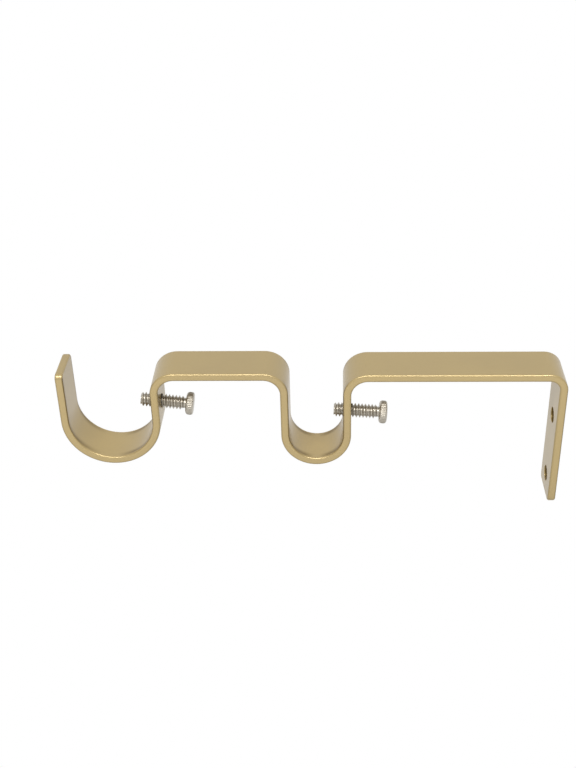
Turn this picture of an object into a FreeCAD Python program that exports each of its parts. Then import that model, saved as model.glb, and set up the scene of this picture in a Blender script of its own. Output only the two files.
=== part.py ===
import FreeCAD, Part
import math
import os

# Double curtain pole bracket: one strap bent into a wall plate, an arm, a small hook, a second arm and a large
# hook, with a knurled screw through the wall-side leg of each hook. Lengths are in mm.
# The wall is the plane x = 0, +X points into the room, +Z up, and y = 0 is the middle of the strap.
# The origin is the middle of the two wall holes, on the back of the wall plate.

# Strap
strap_thickness = 2.5
strap_width = 14.5
bend_inner_r = 5.2
end_corner_r = 1.8
edge_break = 0.4

# Wall plate
wall_bend_inner_r = 3.4
arm_top_height = 30.25
plate_drop = 17.75
wall_hole_d = 5.0
wall_hole_spacing = 22.5
hole_rim_break = 0.25

# Poles and their hooks
rear_pole_d = 16.0
front_pole_d = 25.4
pole_clearance = 0.4
rear_pole_distance = 76.3
front_pole_distance = 140.4
rear_seat_drop = 22.3
front_seat_drop = 17.2
outer_arm_rise = 0.5
tip_rise = 0.1

# Pole screws
thread_d = 4.5
thread_pitch = 1.058
thread_depth = 0.65
screw_length = 14.2
screw_tip_chamfer = 0.6
relief_width = 0.7
head_d = 7.2
head_height = 2.45
head_shoulder = 0.55
knurl_count = 36
knurl_depth = 0.22
tapped_hole_clearance = 0.1
rear_screw_rise_deg = 4.1
front_screw_rise_deg = 6.9
rear_screw_above_seat = 5.24
front_screw_above_seat = 3.84
rear_screw_reach = 2.9
front_screw_reach = 4.05

# Sizes that follow from the ones above
half_t = strap_thickness / 2
half_w = strap_width / 2
bend_r = bend_inner_r + half_t
wall_bend_r = wall_bend_inner_r + half_t
arm_z = arm_top_height - half_t
outer_arm_z = arm_z + outer_arm_rise
tip_z = arm_top_height + tip_rise
rear_seat_z = arm_top_height - rear_seat_drop
front_seat_z = arm_top_height - front_seat_drop
rear_hook_r = rear_pole_d / 2 + pole_clearance + half_t
front_hook_r = front_pole_d / 2 + pole_clearance + half_t


def side_of_strip(start, moves, offset):
    """Edges of the line that runs `offset` to the left of the path, which starts upwards from `start`."""
    x, z, heading = start[0], start[1], math.pi / 2
    edges = []

    def beside(px, pz, angle):
        return FreeCAD.Vector(px - offset * math.sin(angle), -half_w, pz + offset * math.cos(angle))

    for kind, size, turn in moves:
        before = beside(x, z, heading)
        if kind == "straight":
            x += size * math.cos(heading)
            z += size * math.sin(heading)
            edges.append(Part.LineSegment(before, beside(x, z, heading)).toShape())
            continue
        side = math.copysign(1.0, turn)
        cx = x - side * size * math.sin(heading)
        cz = z + side * size * math.cos(heading)
        stops = []
        for share in (0.5, 1.0):
            angle = heading + math.radians(turn) * share
            stops.append((cx + side * size * math.sin(angle), cz - side * size * math.cos(angle), angle))
        x, z, heading = stops[1]
        edges.append(Part.Arc(before, beside(*stops[0]), beside(x, z, heading)).toShape())
    return edges


def make_strap():
    # Centreline of the strap, from the lower end of the wall plate to the tip of the large hook
    start = (half_t, -plate_drop)
    rear_gap = rear_pole_distance - rear_hook_r - half_t - wall_bend_r - bend_r
    front_gap = front_pole_distance - front_hook_r - rear_pole_distance - rear_hook_r - 2 * bend_r
    moves = [
        ("straight", arm_z - wall_bend_r + plate_drop, 0),
        ("bend", wall_bend_r, -90),
        ("straight", rear_gap, 0),
        ("bend", bend_r, -90),
        ("straight", arm_z - bend_r - rear_seat_z, 0),
        ("bend", rear_hook_r, 180),
        ("straight", outer_arm_z - bend_r - rear_seat_z, 0),
        ("bend", bend_r, -90),
        ("straight", front_gap, 0),
        ("bend", bend_r, -90),
        ("straight", outer_arm_z - bend_r - front_seat_z, 0),
        ("bend", front_hook_r, 180),
        ("straight", tip_z - front_seat_z, 0),
    ]
    left = side_of_strip(start, moves, half_t)
    right = side_of_strip(start, moves, -half_t)
    ends = [
        Part.LineSegment(left[0].firstVertex().Point, right[0].firstVertex().Point).toShape(),
        Part.LineSegment(left[-1].lastVertex().Point, right[-1].lastVertex().Point).toShape(),
    ]
    outline = Part.Wire(Part.__sortEdges__(left + ends + right))
    strap = Part.Face(outline).extrude(FreeCAD.Vector(0, strap_width, 0))
    corners = [edge for edge in strap.Edges if is_end_corner(edge)]
    strap = strap.makeFillet(end_corner_r, corners)
    return strap.makeChamfer(edge_break, strap.Edges)


def is_end_corner(edge):
    """The four edges that run through the thickness, at the two cut ends of the strap."""
    low, high = edge.BoundBox.XMin, edge.BoundBox.XMax
    flat = edge.BoundBox.YLength < 0.01 and edge.BoundBox.ZLength < 0.01
    return flat and abs(high - low - strap_thickness) < 0.01


def rising(degrees):
    """The direction from the wall into the room that rises by so many degrees."""
    angle = math.radians(degrees)
    return FreeCAD.Vector(math.cos(angle), 0, math.sin(angle))


def leg_point(pole_distance, hook_r, seat_z, above_seat):
    """Where a screw's axis crosses the middle of its hook's wall-side leg."""
    return FreeCAD.Vector(pole_distance - hook_r, 0, seat_z + above_seat)


def drill(strap, centre, direction, hole_r):
    """A round hole through the strap, with its two rims broken by cones on the hole's axis."""
    long = 2 * strap_thickness
    hole = Part.makeCylinder(hole_r, 2 * long, centre - direction * long, direction)
    drilled = strap.cut(hole)
    to_face = half_t / abs(direction.x)
    for side in (-1, 1):
        deepest = centre + direction * (side * (to_face - hole_rim_break))
        cone = Part.makeCone(hole_r, hole_r + long, long, deepest, direction * side)
        drilled = drilled.cut(cone)
    return drilled


def make_screw():
    """The screw stands on z = 0 with its head below and its tip at z = screw_length."""
    major_r = thread_d / 2
    minor_r = major_r - thread_depth
    threaded = screw_length - screw_tip_chamfer - relief_width - thread_depth
    turns = int(threaded / thread_pitch)
    crest_start = screw_length - screw_tip_chamfer - turns * thread_pitch
    # Half of the section: relief under the head, one V groove for each turn, chamfered tip
    section = [
        (0, -head_height / 2),
        (minor_r, -head_height / 2),
        (minor_r, crest_start - thread_depth),
        (major_r, crest_start),
    ]
    for i in range(turns):
        z = crest_start + i * thread_pitch
        section.append((minor_r, z + thread_pitch / 2))
        section.append((major_r, z + thread_pitch))
    section.append((major_r - screw_tip_chamfer, screw_length))
    section.append((0, screw_length))
    section.append(section[0])
    side = Part.makePolygon([FreeCAD.Vector(r, 0, z) for r, z in section])
    shank = Part.Face(side).revolve(FreeCAD.Vector(0, 0, 0), FreeCAD.Vector(0, 0, 1), 360)
    return shank.fuse(make_head())


def make_head():
    """Round head with sloped shoulders, on which the straight knurl fades out."""
    crest_r = head_d / 2
    blank_r = crest_r + knurl_depth
    slope = head_shoulder + knurl_depth
    section = [
        (0, -head_height),
        (blank_r - slope, -head_height),
        (blank_r, slope - head_height),
        (blank_r, -slope),
        (blank_r - slope, 0),
        (0, 0),
        (0, -head_height),
    ]
    side = Part.makePolygon([FreeCAD.Vector(r, 0, z) for r, z in section])
    blank = Part.Face(side).revolve(FreeCAD.Vector(0, 0, 0), FreeCAD.Vector(0, 0, 1), 360)
    points = []
    for i in range(2 * knurl_count + 1):
        angle = math.pi * i / knurl_count
        r = crest_r if i % 2 == 0 else crest_r - knurl_depth
        points.append(FreeCAD.Vector(r * math.cos(angle), r * math.sin(angle), -head_height))
    knurl = Part.Face(Part.makePolygon(points)).extrude(FreeCAD.Vector(0, 0, head_height))
    return blank.common(knurl)


def place_screw(screw, leg, direction, reach):
    """Lays the screw along `direction`, its tip `reach` past the inside of the leg."""
    under_head = leg + direction * ((half_t + reach) / direction.x - screw_length)
    placed = screw.copy()
    placed.Placement = FreeCAD.Placement(under_head, FreeCAD.Rotation(FreeCAD.Vector(0, 0, 1), direction))
    return placed


def export(shape, name):
    solids = shape.Solids
    print(name, "solids", len(solids), "valid", shape.isValid(), "volume", round(shape.Volume, 2))
    solids[0].exportStep(os.path.join("parts", name + ".step"))


os.makedirs("parts", exist_ok=True)

rear_leg = leg_point(rear_pole_distance, rear_hook_r, rear_seat_z, rear_screw_above_seat)
front_leg = leg_point(front_pole_distance, front_hook_r, front_seat_z, front_screw_above_seat)
rear_direction = rising(rear_screw_rise_deg)
front_direction = rising(front_screw_rise_deg)
tapped_r = thread_d / 2 + tapped_hole_clearance

strap = make_strap()
for z in (-wall_hole_spacing / 2, wall_hole_spacing / 2):
    strap = drill(strap, FreeCAD.Vector(half_t, 0, z), FreeCAD.Vector(1, 0, 0), wall_hole_d / 2)
strap = drill(strap, rear_leg, rear_direction, tapped_r)
strap = drill(strap, front_leg, front_direction, tapped_r)

screw = make_screw()
export(strap, "bracket_strap")
export(place_screw(screw, rear_leg, rear_direction, rear_screw_reach), "rear_pole_screw")
export(place_screw(screw, front_leg, front_direction, front_screw_reach), "front_pole_screw")
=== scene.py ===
import bpy
import bmesh
import math
import numpy as np
from mathutils import Matrix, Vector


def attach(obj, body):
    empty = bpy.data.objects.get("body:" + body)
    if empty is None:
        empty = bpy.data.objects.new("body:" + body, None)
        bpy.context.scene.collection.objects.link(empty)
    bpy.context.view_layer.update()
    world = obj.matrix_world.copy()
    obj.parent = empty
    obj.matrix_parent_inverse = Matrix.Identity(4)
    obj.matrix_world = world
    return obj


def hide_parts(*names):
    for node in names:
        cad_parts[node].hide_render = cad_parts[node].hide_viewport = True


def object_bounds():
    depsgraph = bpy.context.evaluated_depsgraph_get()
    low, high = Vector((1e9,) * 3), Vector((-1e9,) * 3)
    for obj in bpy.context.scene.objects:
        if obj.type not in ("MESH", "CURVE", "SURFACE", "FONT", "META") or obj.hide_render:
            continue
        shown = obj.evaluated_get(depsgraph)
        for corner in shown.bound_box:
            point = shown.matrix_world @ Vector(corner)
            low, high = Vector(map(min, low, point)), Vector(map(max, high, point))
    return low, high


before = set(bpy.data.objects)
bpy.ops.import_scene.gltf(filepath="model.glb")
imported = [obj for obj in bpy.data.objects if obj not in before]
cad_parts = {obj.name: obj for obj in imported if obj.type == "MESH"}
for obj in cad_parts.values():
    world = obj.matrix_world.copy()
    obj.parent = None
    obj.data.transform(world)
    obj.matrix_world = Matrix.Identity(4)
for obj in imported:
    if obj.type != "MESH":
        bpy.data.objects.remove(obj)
cadLow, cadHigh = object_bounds()
print("frame loaded:", sorted(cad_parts))

mm = 0.001  # pieces are in millimetres until they go into a mesh, the studio and the camera are in metres


def gridQuads(rows, columns, closedColumns=True):
    # quad i, j joins grid points (i, j), (i, j+1), (i+1, j+1), (i+1, j); the last column wraps to the first
    quadColumns = columns if closedColumns else columns - 1
    i, j = np.meshgrid(np.arange(rows - 1), np.arange(quadColumns), indexing="ij")
    here, below, nextJ = i * columns, (i + 1) * columns, (j + 1) % columns
    return np.stack([here + j, here + nextJ, below + nextJ, below + j], -1).reshape(-1, 4)


def joinGrids(grids):
    # several grids of points, quads and mask become one: each grid's quads are counted on from the points
    # before it, and points that no quad uses are dropped
    points, quads, masks = zip(*grids)
    starts = np.cumsum([0] + [len(part) for part in points[:-1]])
    allQuads = np.concatenate([part + start for part, start in zip(quads, starts)])
    used, renumbered = np.unique(allQuads, return_inverse=True)
    return np.concatenate(points)[used], renumbered.reshape(allQuads.shape), np.concatenate(masks)[used]


def makePiece(name, points, quads, mask, material, weld=0.003):
    # points in mm become a mesh in metres with the mask of painted shade as an attribute; doubles within
    # `weld` mm are merged and the shell is turned outwards
    mesh = bpy.data.meshes.new(name)
    mesh.from_pydata((points * mm).tolist(), [], quads.tolist())
    mesh.attributes.new("paintedShadeMask", "FLOAT", "POINT").data.foreach_set("value", mask)
    work = bmesh.new()
    work.from_mesh(mesh)
    bmesh.ops.remove_doubles(work, verts=work.verts, dist=weld * mm)
    bmesh.ops.recalc_face_normals(work, faces=work.faces)
    work.to_mesh(mesh)
    work.free()
    mesh.polygons.foreach_set("use_smooth", np.ones(len(mesh.polygons), dtype=bool))
    mesh.materials.append(material)
    piece = bpy.data.objects.new(name, mesh)
    bpy.context.scene.collection.objects.link(piece)
    print("made", name, len(mesh.vertices), "points")
    return piece


def addNode(tree, kind, place=(0, 0), **values):
    # one node, with its settings and the values of its unlinked sockets
    node = tree.nodes.new(kind)
    node.location = place
    for key, value in values.items():
        if hasattr(node, key):
            setattr(node, key, value)
        else:
            node.inputs[key.replace("_", " ")].default_value = value
    return node


def linkAll(tree, *pairs):
    # a link for each pair of an output and an input
    for output, socket in pairs:
        tree.links.new(output, socket)


def newGroup(name, inputs, outputs):
    # an empty node group with named float, colour or vector sockets
    group = bpy.data.node_groups.new(name, "ShaderNodeTree")
    kinds = {"value": "NodeSocketFloat", "colour": "NodeSocketColor", "vector": "NodeSocketVector"}
    for socketName, kind, value in inputs:
        socket = group.interface.new_socket(socketName, in_out="INPUT", socket_type=kinds[kind])
        socket.default_value = value
    for socketName, kind in outputs:
        group.interface.new_socket(socketName, in_out="OUTPUT", socket_type=kinds[kind])
    enter = addNode(group, "NodeGroupInput", (-900, 0))
    leave = addNode(group, "NodeGroupOutput", (700, 0))
    return group, enter, leave


def mixColours(tree, factor, first, second):
    # a Mix node in colour mode; each of the three may be a socket or a plain value. Its inputs 6 and 7 and
    # its output 2 are the ones for colours.
    node = addNode(tree, "ShaderNodeMix", data_type="RGBA")
    for index, item in ((0, factor), (6, first), (7, second)):
        if isinstance(item, bpy.types.NodeSocket):
            tree.links.new(item, node.inputs[index])
        else:
            node.inputs[index].default_value = item
    return node.outputs[2]


def rangeOf(tree, value, fromRange, toRange):
    # the value carried from the one range to the other along a smooth S, and kept inside it
    node = addNode(tree, "ShaderNodeMapRange", interpolation_type="SMOOTHSTEP")
    tree.links.new(value, node.inputs["Value"])
    for key, number in zip(("From Min", "From Max", "To Min", "To Max"), (*fromRange, *toRange)):
        node.inputs[key].default_value = number
    return node.outputs["Result"]


grainSet = {
    "patch": {"Detail": 3.0, "Roughness": 0.55}, "patchRange": (0.3, 0.7),
    "grain": {"Detail": 2.0, "Roughness": 0.6}, "grainRange": (0.35, 0.65),
    "roughnessSwing": (-0.015, 0.015), "bumpDistance": 0.00003,
}


def coatGrain(cfg):
    # fine uneven surface of a sprayed or plated coat, all on Object coordinates: a soft change from Colour
    # to Deep Colour, a speckle added to the roughness, and a bump
    group, enter, leave = newGroup(
        "coatGrain",
        [("Colour", "colour", (0.5, 0.5, 0.5, 1)), ("Deep Colour", "colour", (0.4, 0.4, 0.4, 1)),
         ("Patch Scale", "value", 60.0), ("Grain Scale", "value", 2500.0),
         ("Roughness", "value", 0.35), ("Bump", "value", 0.05)],
        [("Colour", "colour"), ("Roughness", "value"), ("Normal", "vector")])
    coords = addNode(group, "ShaderNodeTexCoord", (-900, 300))
    patch = addNode(group, "ShaderNodeTexNoise", (-600, 300), **cfg["patch"])
    grain = addNode(group, "ShaderNodeTexNoise", (-600, 0), **cfg["grain"])
    for noise, scale in ((patch, "Patch Scale"), (grain, "Grain Scale")):
        linkAll(group, (coords.outputs["Object"], noise.inputs["Vector"]),
                (enter.outputs[scale], noise.inputs["Scale"]))
    tone = rangeOf(group, patch.outputs["Fac"], cfg["patchRange"], (0.0, 1.0))
    colour = mixColours(group, tone, enter.outputs["Colour"], enter.outputs["Deep Colour"])
    speckle = rangeOf(group, grain.outputs["Fac"], cfg["grainRange"], cfg["roughnessSwing"])
    rough = addNode(group, "ShaderNodeMath", (200, 0), operation="ADD")
    bump = addNode(group, "ShaderNodeBump", (200, -200), Distance=cfg["bumpDistance"])
    linkAll(group, (enter.outputs["Roughness"], rough.inputs[0]), (speckle, rough.inputs[1]),
            (grain.outputs["Fac"], bump.inputs["Height"]), (enter.outputs["Bump"], bump.inputs["Strength"]),
            (colour, leave.inputs["Colour"]), (rough.outputs[0], leave.inputs["Roughness"]),
            (bump.outputs["Normal"], leave.inputs["Normal"]))
    return group


grainGroup = coatGrain(grainSet)


def makeCoat(name, look):
    # the grain group feeds the shader. Where the piece's own mask attribute says, the coat takes the painted
    # shade colour and gets rougher: roughness + shadedRoughness * mask
    material = bpy.data.materials.new(name)
    material.use_nodes = True
    tree = material.node_tree
    shader = tree.nodes["Principled BSDF"]
    grain = addNode(tree, "ShaderNodeGroup", (-400, 0), node_tree=grainGroup)
    mask = addNode(tree, "ShaderNodeAttribute", (-700, -300), attribute_name="paintedShadeMask")
    rougher = addNode(tree, "ShaderNodeMath", (-200, -300), operation="MULTIPLY_ADD")
    rougher.inputs[1].default_value = look["shadedRoughness"]
    for node, values in ((grain, look["grain"]), (shader, look["shader"])):
        for socket, value in values.items():
            node.inputs[socket].default_value = value
    colour = mixColours(tree, mask.outputs["Fac"], grain.outputs["Colour"], look["paintedShadeColour"])
    linkAll(tree, (mask.outputs["Fac"], rougher.inputs[0]), (grain.outputs["Roughness"], rougher.inputs[2]),
            (colour, shader.inputs["Base Color"]), (rougher.outputs[0], shader.inputs["Roughness"]),
            (grain.outputs["Normal"], shader.inputs["Normal"]))
    return material


paintLook = {  # the shaded parts are painted shade and reflection: a band beside the edges, and the bores
    "grain": {"Colour": (0.476, 0.359, 0.161, 1), "Deep Colour": (0.452, 0.341, 0.157, 1),
              "Patch Scale": 45.0, "Grain Scale": 2200.0, "Roughness": 0.3, "Bump": 0.05},
    "paintedShadeColour": (0.23, 0.155, 0.045, 1), "shadedRoughness": 0.0,
    "shader": {"Metallic": 0.42, "Specular IOR Level": 0.5, "Coat Weight": 0.12, "Coat Roughness": 0.12},
}

nickelLook = {  # the shaded parts are painted shade in the roots of the thread and on the knurl
    "grain": {"Colour": (0.548, 0.513, 0.449, 1), "Deep Colour": (0.488, 0.453, 0.394, 1),
              "Patch Scale": 300.0, "Grain Scale": 5000.0, "Roughness": 0.34, "Bump": 0.03},
    "paintedShadeColour": (0.31, 0.285, 0.235, 1), "shadedRoughness": 0.15,
    "shader": {"Metallic": 1.0},
}

paint = makeCoat("champagneSatinPaint", paintLook)
nickel = makeCoat("brightNickel", nickelLook)
print("materials ready")


strap = {
    "thickness": 2.5, "width": 14.5, "edgeRound": 0.6, "endCorner": 1.8, "bendInner": 5.2,
    "wallBendInner": 3.4, "armTop": 30.25, "plateDrop": 17.75, "outerArmRise": 0.5, "tipTop": 30.35,
    "rearPole": (76.3, 7.95), "rearHookInner": 8.4, "frontPole": (140.4, 13.05), "frontHookInner": 13.1,
    "wallHoleRadius": 2.5, "wallHoleSpacing": 22.5, "tappedRadius": 2.35, "rimRound": 0.22,
    "rearScrewRise": 4.1, "frontScrewRise": 6.9, "rearScrewAboveSeat": 5.24, "frontScrewAboveSeat": 3.84,
    # the grid: points round an edge, the flat beside it, rows of a bend, a hole's window and rings
    "edgePoints": 7, "edgeLoop": 0.08, "flatStart": 0.1, "flatSteps": 5, "bendStepDegrees": 3.5,
    "bendMargin": 0.2, "holeWindow": 3.6, "windowSteps": 18, "windowMargin": 0.02,
    "patchSpread": (0.0, 0.3, 0.6, 0.85, 1.0), "boreBelowRim": 0.15, "boreNext": 0.4,
    # painted shade on a hole's rim, and the band of painted shade and reflection beside the edges, inside
    # the hooks and outside the strap
    "rimShade": (0, 0, 0, 0.3, 0.7),
    "innerShade": 0.95, "outerShadeLevel": 0.25, "outerShadeSteep": 0.125, "hookHeight": 16.0,
    "hookSteep": (0.08, 0.44), "riseSteep": (0.35, 0.85), "bendSteep": (0.75, 1.0),
    "innerBandStart": 0.03, "outerBandStart": -0.1, "bandShift": 0.7, "bandGrowth": 1.6,
    "bandRamp": 0.15, "bandFade": 1.2, "bandCurve": 1.5,
}

hookRun = {"rear": 5, "front": 11}  # which runs of the strap's path are the half rounds of its hooks
tiny = 1e-9  # mm that count as none
sameRow = 6  # decimals to which two rows or columns of the strap's grid are one


def strapPath(cfg):
    # centreline as straights and bends from the plate's lower end to the tip, each a length and a signed
    # curvature. What comes out is distance, x, z and heading where each run starts, and the curvatures.
    half = cfg["thickness"] / 2
    bend, wallBend = cfg["bendInner"] + half, cfg["wallBendInner"] + half
    rear, front = cfg["rearHookInner"] + half, cfg["frontHookInner"] + half
    armZ = cfg["armTop"] - half
    outerZ = armZ + cfg["outerArmRise"]
    (rearX, rearZ), (frontX, frontZ) = cfg["rearPole"], cfg["frontPole"]
    quarter, halfTurn = math.pi / 2, math.pi
    runs = [
        (armZ - wallBend + cfg["plateDrop"], 0), (wallBend * quarter, -1 / wallBend),
        (rearX - rear - half - wallBend - bend, 0), (bend * quarter, -1 / bend),
        (armZ - bend - rearZ, 0), (rear * halfTurn, 1 / rear),
        (outerZ - bend - rearZ, 0), (bend * quarter, -1 / bend),
        (frontX - front - rearX - rear - 2 * bend, 0), (bend * quarter, -1 / bend),
        (outerZ - bend - frontZ, 0), (front * halfTurn, 1 / front),
        (cfg["tipTop"] - frontZ, 0),
    ]
    start = np.zeros((len(runs) + 1, 4))
    start[0] = 0, half, -cfg["plateDrop"], quarter
    for k, (length, curve) in enumerate(runs):
        s, x, z, h = start[k]
        turned = h + curve * length
        if curve:
            x, z = x + (math.sin(turned) - math.sin(h)) / curve, z - (math.cos(turned) - math.cos(h)) / curve
        else:
            x, z = x + length * math.cos(h), z + length * math.sin(h)
        start[k + 1] = s + length, x, z, turned
    return start, np.array([curve for length, curve in runs])


def alongPath(path, s):
    # position and heading of the centreline at each distance s: a circle's arc where it curves, a line
    # where not
    start, curves = path
    k = np.clip(np.searchsorted(start[:, 0], s, side="right") - 1, 0, len(curves) - 1)
    s0, x0, z0, h0 = np.moveaxis(start[k], -1, 0)
    c, d = curves[k], s - s0
    safe = np.where(c == 0, 1, c)
    h = h0 + c * d
    x = np.where(c == 0, x0 + d * np.cos(h0), x0 + (np.sin(h) - np.sin(h0)) / safe)
    z = np.where(c == 0, z0 + d * np.sin(h0), z0 - (np.cos(h) - np.cos(h0)) / safe)
    return x, z, h


def onStrap(path, s, n, y):
    # a point s along the strap, n to the left of its centreline and y across it
    s, n, y = np.broadcast_arrays(s, n, y)
    x, z, h = alongPath(path, s)
    return np.stack([x - n * np.sin(h), y, z + n * np.cos(h)], -1)


def fromEdge(cfg):
    # distances from an edge: evenly round its quarter circle, just past it, and on to where the corner's
    # round ends
    r = cfg["edgeRound"]
    onRound = r * (1 - np.cos(np.linspace(0, math.pi / 2, cfg["edgePoints"])))
    onFlat = np.linspace(r + cfg["flatStart"], cfg["endCorner"], cfg["flatSteps"] + 1)[1:]
    return np.concatenate([onRound, [r + cfg["edgeLoop"]], onFlat])


def overWindow(cfg):
    # even steps over the square window that a hole's patch fills
    return np.linspace(-cfg["holeWindow"], cfg["holeWindow"], cfg["windowSteps"] + 1)


def acrossStrap(cfg):
    # places across the strap, close together round both edges and even over a hole's window
    half, outer = cfg["width"] / 2, fromEdge(cfg)
    middle = (half - cfg["endCorner"] + cfg["holeWindow"]) / 2
    places = np.concatenate([outer - half, half - outer, overWindow(cfg), [-middle, middle]])
    return np.unique(np.round(places, sameRow))


def alongStrap(path, cfg, holes):
    # distances of the rows: close together round the two ends, even round each bend and over a hole's
    # window
    start, curves = path
    total, outer, margin = start[-1, 0], fromEdge(cfg), cfg["bendMargin"]
    rows = [outer, total - outer]
    for k in np.flatnonzero(curves):
        a, b = start[k, 0], start[k + 1, 0]
        turned = math.degrees(abs(curves[k]) * (b - a))
        rows += [np.linspace(a, b, int(turned / cfg["bendStepDegrees"]) + 1), [a - margin, b + margin]]
    rows = np.concatenate(rows)
    for centre, radius, tilt in holes:
        rows = rows[np.abs(rows - centre) > cfg["holeWindow"] + cfg["windowMargin"]]
        rows = np.append(rows, centre + overWindow(cfg))
    return np.unique(np.round(rows, sameRow))


def roundCorners(cfg, total, s, y):
    # plan corners of the two ends: a point of the corner square at largest side m moves to the circle of
    # radius m
    halfY, corner = cfg["width"] / 2, cfg["endCorner"]
    fromEnd = np.minimum(s, total - s)
    a, b = corner - fromEnd, np.abs(y) - (halfY - corner)
    inside = (a > tiny) & (b > tiny)
    k = np.where(inside, np.maximum(a, b) / np.maximum(np.hypot(a, b), tiny), 1.0)
    newEnd = np.where(inside, corner - a * k, fromEnd)
    newY = np.where(inside, np.sign(y) * (halfY - corner + b * k), y)
    return np.where(s < total / 2, newEnd, total - newEnd), newY


def edgeDrop(cfg, depth):
    # how far a wide face falls away at a distance `depth` from the edge: a quarter circle of the edge's
    # radius
    r = cfg["edgeRound"]
    return r - np.sqrt(r * r - np.clip(r - depth, 0, r) ** 2)


def bandMask(cfg, path, s, n, y):
    # the band of painted shade beside the long edges, a painted reflection of darker surroundings in the
    # rounded edges: a rise times a fall by the distance to the edge, times a strength. Inside (n > 0) the
    # strength grows with how steep the strap is, soonest in the hooks, later where the large hook rises to
    # its tip, last in the upper bends, and the band lies further from the edge by bandShift *
    # |cos(heading)|.
    # Outside, the strength goes from the level to the steep value. The band fades out beside the rounded
    # edges of both ends.
    start = path[0]
    height, heading = alongPath(path, s)[1:]
    sine = np.abs(np.sin(heading))
    steepKey = ("hookSteep", "riseSteep", "bendSteep")
    inHooks, onRise, inBends = (np.interp(sine, cfg[key], (0, 1)) for key in steepKey)
    inHooks = np.where((s > start[hookRun["front"], 0]) & (heading > 0), onRise, inHooks)
    steep = np.where(height < cfg["hookHeight"], inHooks, inBends)
    inside = cfg["innerShade"] * steep
    outside = cfg["outerShadeLevel"] + (cfg["outerShadeSteep"] - cfg["outerShadeLevel"]) * steep
    sideDepth, endDepth = cfg["width"] / 2 - np.abs(y), np.minimum(s, start[-1, 0] - s)
    inwards = np.where(n > 0, cfg["bandShift"] * np.abs(np.cos(heading)), 0)
    bandStart = np.where(n > 0, cfg["innerBandStart"] + inwards, cfg["outerBandStart"])
    bandEnd = cfg["endCorner"] + cfg["bandGrowth"] * inwards
    rise = np.clip((sideDepth - bandStart) / cfg["bandRamp"], 0, 1)
    fall = np.clip((bandEnd - sideDepth) / cfg["bandFade"], 0, 1) ** cfg["bandCurve"]
    return rise * fall * np.clip(endDepth / cfg["edgeRound"] - 1, 0, 1) * np.where(n > 0, inside, outside)


def strapHoles(cfg, path):
    # distance along the strap, radius and tilt of the two wall holes and of the two tapped holes, which are
    # in the legs that head straight down into the hooks
    halfSpacing = cfg["wallHoleSpacing"] / 2
    holes = [(cfg["plateDrop"] + side * halfSpacing, cfg["wallHoleRadius"], 0.0) for side in (-1, 1)]
    for end, run in hookRun.items():
        centre = path[0][run, 0] - cfg[end + "ScrewAboveSeat"]
        holes.append((centre, cfg["tappedRadius"], math.radians(cfg[end + "ScrewRise"])))
    return holes


def holePatch(cfg, path, centre, radius, tilt):
    # rings from a square window in the one face, down a round bore with rounded rims, to the window in the
    # other face. Each ring is a mix by `spread` of the square and of the bore's circle, which the tilt
    # stretches and moves.
    rim, half, ramp = cfg["rimRound"], cfg["thickness"] / 2, overWindow(cfg)[:-1]
    low, high = np.full(ramp.size, ramp[0]), np.full(ramp.size, -ramp[0])
    squareS = np.concatenate([ramp, high, -ramp, low])
    squareY = np.concatenate([low, ramp, high, -ramp])
    angle = np.arctan2(squareY, squareS)
    spread = np.array(cfg["patchSpread"])
    turn = np.linspace(0, math.pi / 2, len(cfg["rimShade"]) + 1)[1:]
    bore = np.array([half - rim - cfg["boreBelowRim"], cfg["boreNext"], 0.0])
    inFace, inBore = np.ones(spread.size), np.ones(bore.size)
    rimRadius = radius + rim * (1 - np.sin(turn))
    ringRadius = np.concatenate([(radius + rim) * inFace, rimRadius, radius * inBore])
    ringDepth = np.concatenate([half * inFace, half - rim * (1 - np.cos(turn)), bore])
    ringSpread = np.concatenate([spread, np.ones(turn.size), inBore])
    # painted shade on the inner part of each rounded rim and all down the bore, where the hole lies in
    # shadow
    ringShade = np.concatenate([0 * inFace, cfg["rimShade"], inBore])
    # the other half of the bore mirrors the first, whose last ring lies in the middle of the thickness
    r, n, w, shade = (np.concatenate([ring, sign * ring[-2::-1]])[:, None] for ring, sign in
                      ((ringRadius, 1), (ringDepth, -1), (ringSpread, 1), (ringShade, 1)))
    s = (1 - w) * squareS + w * (r * np.cos(angle) / math.cos(tilt) - n * math.tan(tilt))
    y = (1 - w) * squareY + w * r * np.sin(angle)
    points = onStrap(path, centre + s, n, y).reshape(-1, 3)
    return points, gridQuads(*y.shape), np.broadcast_to(shade, y.shape).ravel()


def inHoles(cfg, holes, rows, columnY, faceSign, quads):
    # which quads of either wide face lie inside a hole's window
    row, column = np.divmod(quads[:, 0], len(columnY))
    nextColumn = (column + 1) % len(columnY)
    onFace = np.abs(faceSign[column] + faceSign[nextColumn]) == 2
    middleS, middleY = (rows[row] + rows[row + 1]) / 2, (columnY[column] + columnY[nextColumn]) / 2
    inside = np.zeros(len(quads), dtype=bool)
    for centre, radius, tilt in holes:
        inside |= onFace & (np.maximum(np.abs(middleS - centre), np.abs(middleY)) < cfg["holeWindow"])
    return inside


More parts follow.
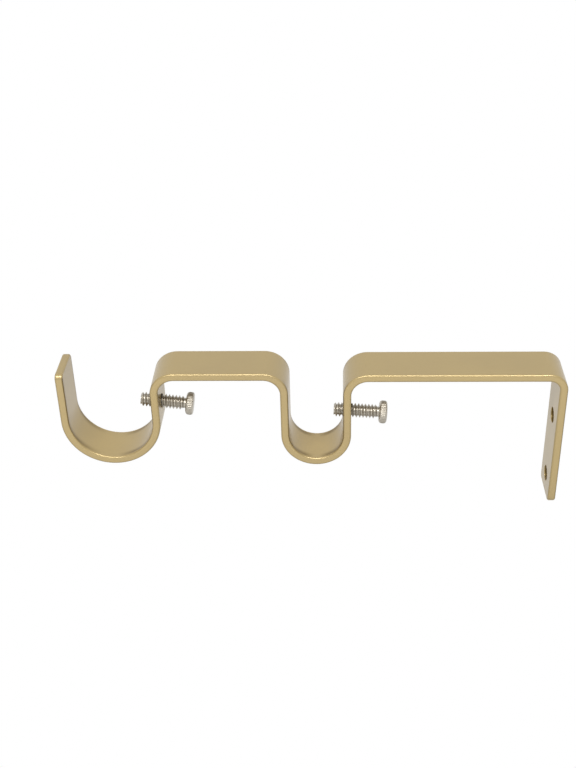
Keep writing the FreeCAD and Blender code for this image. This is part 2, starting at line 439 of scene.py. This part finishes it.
def makeStrap(cfg):
    # the strap's surface is a grid of rows along the path by columns once round its section. A wide face
    # lies half the thickness from the centreline less edgeDrop, a quarter circle, and the two ends round
    # off in plan.
    path = strapPath(cfg)
    total = path[0][-1, 0]
    halfN, halfY, r = cfg["thickness"] / 2, cfg["width"] / 2, cfg["edgeRound"]
    holes = strapHoles(cfg, path)
    rows, across = alongStrap(path, cfg, holes), acrossStrap(cfg)
    # columns once round the strap: left face, +y side, right face, -y side
    sideStart = halfN - r - cfg["flatStart"]
    side = np.array([sideStart, 0.0, -sideStart])
    face, edge = np.ones(across.size), np.ones(side.size)
    columnY = np.concatenate([across, halfY * edge, across[::-1], -halfY * edge])
    faceSign = np.concatenate([face, 0 * edge, -face, 0 * edge])
    sideN = np.concatenate([0 * face, side, 0 * face, side[::-1]])
    s, y = np.meshgrid(rows, columnY, indexing="ij")
    depth = np.minimum(halfY - np.abs(y), np.minimum(s, total - s))
    n = faceSign * (halfN - edgeDrop(cfg, depth)) + sideN
    # painted shade and reflection in a band beside the long edges, on the wide faces only
    mask = bandMask(cfg, path, s, n, y) * np.abs(faceSign)
    newS, newY = roundCorners(cfg, total, s, y)
    quads = gridQuads(len(rows), len(columnY))
    quads = quads[~inHoles(cfg, holes, rows, columnY, faceSign, quads)]
    grids = [(onStrap(path, newS, n, newY).reshape(-1, 3), quads, mask.ravel())]
    # flat end faces between the two rounded rims
    endN, endY = np.meshgrid(np.concatenate([[halfN - r], side, [r - halfN]]), across, indexing="ij")
    for end in (0.0, total):
        newS, newY = roundCorners(cfg, total, np.full(endN.shape, end), endY)
        points = onStrap(path, newS, endN, newY).reshape(-1, 3)
        grids.append((points, gridQuads(*endN.shape, closedColumns=False), np.zeros(endN.size)))
    grids += [holePatch(cfg, path, *hole) for hole in holes]
    return makePiece("bentStrap", *joinGrids(grids), paint)


bentStrap = makeStrap(strap)
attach(bentStrap, "bracket")
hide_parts("bracket_strap")


screw = {
    "threadRadius": 2.25, "pitch": 1.058, "depth": 0.65, "length": 14.2, "tipChamfer": 0.6, "relief": 0.7,
    # rootShade: painted shade in the roots of the thread
    "runOut": 1.2, "rootFlat": 0.3, "flank": 0.6, "rootShade": 0.5,
    "headRadius": 3.6, "headHeight": 2.45, "underShoulder": 0.95, "outerShoulder": 0.8,
    # crestShade and valleyShade: painted shade on the knurled band, stronger in the grooves
    "knurls": 36, "knurlDepth": 0.2, "knurlFade": 0.3, "crestShade": 0.38, "valleyShade": 1.0,
    "rearReach": 2.9, "frontReach": 4.05,
    # the grid: rows for each turn of the thread, columns for each knurl, and rings where it isn't knurled
    "rowsPerTurn": 16, "perKnurl": 4, "shoulderPoints": 8, "ringsBetween": 4,
    "tipRings": (0.75, 0.35, 0.0), "faceRings": (0.0, 0.25, 0.6, 0.9, 0.98),
}


def screwPlace(end):
    # the middle of the hook's wall-side leg on the screw's axis, how far the tip stands out of the leg, and
    # the axis's rise towards the room
    poleX, poleZ = strap[end + "Pole"]
    legX = poleX - strap[end + "HookInner"] - strap["thickness"] / 2
    leg = (legX, poleZ + strap[end + "ScrewAboveSeat"])
    return leg, screw[end + "Reach"], math.radians(strap[end + "ScrewRise"])


def onScrew(u, radius, angle, place):
    # a point u along the axis from under the head, `radius` from it and turned by `angle` round it
    leg, reach, rise = place
    along = np.array([math.cos(rise), 0, math.sin(rise)])
    up = np.array([-math.sin(rise), 0, math.cos(rise)])
    side = np.array([0.0, 1.0, 0.0])
    underHead = (strap["thickness"] / 2 + reach) / math.cos(rise) - screw["length"]
    start = np.array([leg[0], 0, leg[1]]) + along * underHead
    u, radius, angle = (item[..., None] for item in np.broadcast_arrays(u, radius, angle))
    return start + u * along + radius * np.cos(angle) * up - radius * np.sin(angle) * side


def between(a, b, count):
    # evenly spaced values between a and b, without the two
    return np.linspace(a, b, count + 2)[1:-1]


def threadRows(angle):
    # a V thread: the radius falls from crest to root and back once for each pitch, and a turn of the angle
    # moves it by one pitch. It runs out into the relief under the head and into the chamfer at the tip.
    length, major, depth = screw["length"], screw["threadRadius"], screw["depth"]
    minor = major - depth
    u = np.linspace(0, length, int(length / screw["pitch"] * screw["rowsPerTurn"]) + 1)[:, None]
    phase = np.mod(u / screw["pitch"] - angle / (2 * math.pi), 1.0)
    ridge = np.clip((np.abs(2 * phase - 1) - screw["rootFlat"]) / screw["flank"], 0, 1)
    radius = minor + depth * ridge
    radius = np.minimum(radius, minor + np.maximum(0, (u - screw["relief"]) * screw["runOut"]))
    radius = np.minimum(radius, major - np.maximum(0, u - (length - screw["tipChamfer"])))
    # painted shade in the roots of the thread, by how far the radius lies below the crest
    groove = np.clip((major - radius) / depth, 0, 1) * screw["rootShade"]
    tipRadius = radius[-1:] * np.array(screw["tipRings"])[:, None]
    return (np.concatenate([np.broadcast_to(u, radius.shape), np.full(tipRadius.shape, length)]),
            np.concatenate([radius, tipRadius]), np.concatenate([groove, 0 * tipRadius]))


def headRows(angle):
    # the head's section, from the middle of its face to the shank. The knurl takes
    # knurlDepth * (1 + cos(knurls * angle)) / 2 off the radius and fades out on the rounded shoulders.
    r, h, root = screw["headRadius"], screw["headHeight"], screw["threadRadius"] - screw["depth"]
    under, outer, count = screw["underShoulder"], screw["outerShoulder"], screw["ringsBetween"]
    turn = np.linspace(0, math.pi / 2, screw["shoulderPoints"])
    faceRadius, backRadius = (r - outer) * np.array(screw["faceRings"]), between(r - under, root, count)
    u = np.concatenate([np.full(faceRadius.size, -h), -h + outer * (1 - np.cos(turn)),
                        between(-h + outer, -under, count), -under * (1 - np.sin(turn)), 0 * backRadius])
    radius = np.concatenate([faceRadius, r - outer + outer * np.sin(turn), np.full(count, r),
                             r - under + under * np.cos(turn), backRadius])
    groove = 0.5 + 0.5 * np.cos(angle * screw["knurls"])
    share = np.clip((radius - (r - screw["knurlFade"])) / screw["knurlFade"], 0, 1)[:, None]
    radius = radius[:, None] - screw["knurlDepth"] * share * groove
    # painted shade on the knurled band, fading out on the shoulders, darker in the grooves than on the
    # crests
    shade = share * (screw["crestShade"] + (screw["valleyShade"] - screw["crestShade"]) * groove)
    return np.broadcast_to(u[:, None], radius.shape), radius, shade


def makeScrew(name, node, body, place):
    # head and thread are one grid, rows along the axis by columns around it, closed by a pole at each end
    angle = np.linspace(0, 2 * math.pi, screw["knurls"] * screw["perKnurl"], endpoint=False)[None, :]
    u, radius, mask = (np.concatenate(rows) for rows in zip(headRows(angle), threadRows(angle)))
    points = onScrew(u, radius, angle, place).reshape(-1, 3)
    piece = makePiece(name, points, gridQuads(*radius.shape), mask.ravel(), nickel)
    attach(piece, body)
    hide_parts(node)


makeScrew("rearScrew", "rear_pole_screw", "rear_screw", screwPlace("rear"))
makeScrew("frontScrew", "front_pole_screw", "front_screw", screwPlace("front"))
print("pieces ready")


studio = {
    "floorDepth": 0.25, "floorSize": 6.0, "floorColour": (0.9, 0.9, 0.9, 1), "floorRoughness": 0.8,
    "fill": 0.09, "white": {"Color": (1, 1, 1, 1), "Strength": 1.0},
    "keyPlace": (0.1, 0.37, 0.62), "keySize": (0.8, 0.11), "keyPower": 5.3,
    "frontPlace": (0.1, 0.36, -0.15), "frontSize": (0.85, 0.22), "frontPower": 0.35,
    "lampAim": (0.08, 0.0, 0.01),
}


def whiteForCamera(tree, plain, seen, output):
    # the plain shader lights the object; camera, glossy and transmission rays see the even white instead
    path = addNode(tree, "ShaderNodeLightPath")
    most = path.outputs["Is Camera Ray"]
    for ray in ("Is Glossy Ray", "Is Transmission Ray"):
        larger = addNode(tree, "ShaderNodeMath", operation="MAXIMUM")
        linkAll(tree, (most, larger.inputs[0]), (path.outputs[ray], larger.inputs[1]))
        most = larger.outputs[0]
    mix = addNode(tree, "ShaderNodeMixShader")
    linkAll(tree, (most, mix.inputs[0]), (plain.outputs[0], mix.inputs[1]), (seen.outputs[0], mix.inputs[2]),
            (mix.outputs[0], output.inputs[0]))


def makeWorld(cfg):
    world = bpy.data.worlds.new("softWhiteRoom")
    bpy.context.scene.world = world
    world.use_nodes = True
    tree = world.node_tree
    plain = tree.nodes["Background"]
    plain.inputs["Color"].default_value = (1, 1, 1, 1)
    plain.inputs["Strength"].default_value = cfg["fill"]
    seen = addNode(tree, "ShaderNodeBackground", **cfg["white"])
    whiteForCamera(tree, plain, seen, tree.nodes["World Output"])


def makeFloor(cfg):
    material = bpy.data.materials.new("paleFloor")
    material.use_nodes = True
    tree = material.node_tree
    shader = tree.nodes["Principled BSDF"]
    shader.inputs["Base Color"].default_value = cfg["floorColour"]
    shader.inputs["Roughness"].default_value = cfg["floorRoughness"]
    glow = addNode(tree, "ShaderNodeEmission", **cfg["white"])
    whiteForCamera(tree, shader, glow, tree.nodes["Material Output"])
    half, low = cfg["floorSize"] / 2, float(cadLow[2]) - cfg["floorDepth"]
    corners = [(-half, -half, low), (half, -half, low), (half, half, low), (-half, half, low)]
    mesh = bpy.data.meshes.new("floor")
    mesh.from_pydata(corners, [], [(0, 1, 2, 3)])
    mesh.materials.append(material)
    floor = bpy.data.objects.new("floor", mesh)
    bpy.context.scene.collection.objects.link(floor)


def placeFacing(item, place, right, up, towards):
    # a lamp or a camera at `place` that looks along `towards`, with `right` and `up` as its own
    matrix = np.eye(4)
    matrix[:3] = np.stack([right, up, -towards, place], -1)
    item.matrix_world = Matrix(matrix.tolist())
    bpy.context.scene.collection.objects.link(item)


def makeLamp(cfg, name):
    # an area lamp turned to the middle of the object, its long side along X
    lamp = bpy.data.lights.new(name + "Softbox", "AREA")
    lamp.shape = "RECTANGLE"
    lamp.size, lamp.size_y = cfg[name + "Size"]
    lamp.energy = cfg[name + "Power"]
    place = np.array(cfg[name + "Place"])
    towards = np.array(cfg["lampAim"]) - place
    towards /= np.linalg.norm(towards)
    up = np.cross([1.0, 0, 0], towards)
    up /= np.linalg.norm(up)
    placeFacing(bpy.data.objects.new(name + "Softbox", lamp), place, np.cross(towards, up), up, towards)


cameraSet = {
    "place": (0.069458, 0.30599, 0.21592), "yaw": 2.903, "pitch": 32.223, "roll": -1.646,
    "focalPixels": 1165.9, "longSidePixels": 768, "sensor": 36.0, "clipStart": 0.01,
}


def makeCamera(cfg):
    # yaw turns the view from -Y towards +X, pitch turns it down, roll turns the frame about the view
    yaw, pitch, roll = (math.radians(cfg[key]) for key in ("yaw", "pitch", "roll"))
    forward = np.array([math.sin(yaw) * math.cos(pitch), -math.cos(yaw) * math.cos(pitch), -math.sin(pitch)])
    right = np.cross(forward, [0, 0, 1.0])
    right /= np.linalg.norm(right)
    up = np.cross(right, forward)
    right, up = right * math.cos(roll) + up * math.sin(roll), up * math.cos(roll) - right * math.sin(roll)
    data = bpy.data.cameras.new("photoView")
    data.sensor_width = cfg["sensor"]
    data.lens = cfg["focalPixels"] / cfg["longSidePixels"] * cfg["sensor"]
    data.clip_start = cfg["clipStart"]
    camera = bpy.data.objects.new("photoView", data)
    placeFacing(camera, cfg["place"], right, up, forward)
    bpy.context.scene.camera = camera


bpy.context.scene.view_settings.view_transform = "Standard"
makeWorld(studio)
makeFloor(studio)
makeLamp(studio, "key")
makeLamp(studio, "front")
makeCamera(cameraSet)
print("studio ready")
